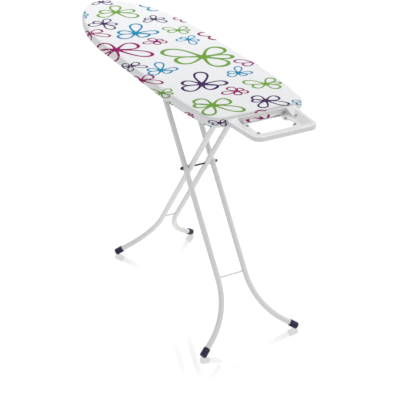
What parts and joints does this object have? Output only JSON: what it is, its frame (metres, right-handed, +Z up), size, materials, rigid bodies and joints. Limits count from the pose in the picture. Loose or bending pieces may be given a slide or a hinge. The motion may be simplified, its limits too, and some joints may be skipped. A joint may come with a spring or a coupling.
{
  "type": "ironing board",
  "caption": "Folding ironing board with a padded fabric top, bent-tube X legs, sliding height lock and moulded iron rest.",
  "frame": {"origin": "on the floor under the middle of the whole object's bounding box", "axes": "+X from the nose to the iron rest, +Z up. Nodes named left are on the -Y side, which is on the left when looking from the iron rest to the nose"},
  "size_m": [1.368, 0.38, 0.862],
  "materials": {
    "printed_cotton": "woven cotton with an outline flower print",
    "felt": "felt",
    "panel_steel": "grey paint",
    "zinc_steel": "zinc plated",
    "powder_coat": "light warm grey satin powder coat",
    "rest_plastic": "satin moulded",
    "stud_rubber": "matte",
    "navy_plastic": "satin moulded",
    "black_plastic": "satin moulded",
    "nylon": "satin moulded",
    "dark_steel": "blackened"
  },
  "bodies": {
    "board": {"cover": "printed_cotton", "pad": "felt", "top_panel": "panel_steel", "panel_rim": "panel_steel", "slide_rail_left": "zinc_steel", "slide_rail_right": "zinc_steel", "rail_rivets": "zinc_steel", "hinge_bracket_left": "black_plastic", "hinge_bracket_right": "black_plastic", "bracket_rivets": "zinc_steel", "shaft_bracket_nose": "zinc_steel", "shaft_bracket_middle": "zinc_steel", "shaft_bracket_tail": "zinc_steel", "iron_rest": "rest_plastic", "rest_studs": "stud_rubber", "rest_screws": "zinc_steel"},
    "lock": {"lock_shaft": "zinc_steel", "lock_comb": "zinc_steel", "release_lever": "zinc_steel", "lever_grip": "navy_plastic"},
    "inner_legs": {"inner_leg_left": "powder_coat", "inner_leg_right": "powder_coat", "inner_top_bar": "powder_coat", "inner_brace": "powder_coat", "inner_bar_plugs": "navy_plastic", "inner_foot_left": "navy_plastic", "inner_foot_right": "navy_plastic", "pivot_bush_left": "nylon", "pivot_bush_right": "nylon"},
    "outer_legs": {"outer_leg_left": "powder_coat", "outer_leg_right": "powder_coat", "outer_top_bar": "powder_coat", "outer_brace": "powder_coat", "glide_left": "nylon", "glide_right": "nylon", "outer_foot_left": "navy_plastic", "outer_foot_right": "navy_plastic", "pivot_rod": "dark_steel", "pivot_washers": "zinc_steel", "pivot_nut_left": "dark_steel", "pivot_nut_right": "dark_steel"}
  },
  "joints": [
    {"name": "leg_fold", "type": "hinge", "parent": "board", "child": "inner_legs", "pos_m": [0.36454, 0, 0.815], "axis": [0, 1, 0], "range_deg": [-10, 51.5]},
    {"name": "outer_leg_pivot", "type": "hinge", "parent": "inner_legs", "child": "outer_legs", "pos_m": [0.137, 0, 0.5075], "axis": [0, 1, 0], "range_deg": [-103, 20]},
    {"name": "height_lock", "type": "hinge", "parent": "board", "child": "lock", "pos_m": [0, 0.014, 0.834], "axis": [1, 0, 0], "range_deg": [0, 35]}
  ],
  "couplings": [
    {"joint": "outer_leg_pivot", "follows": "leg_fold", "ratio": -2}
  ]
}
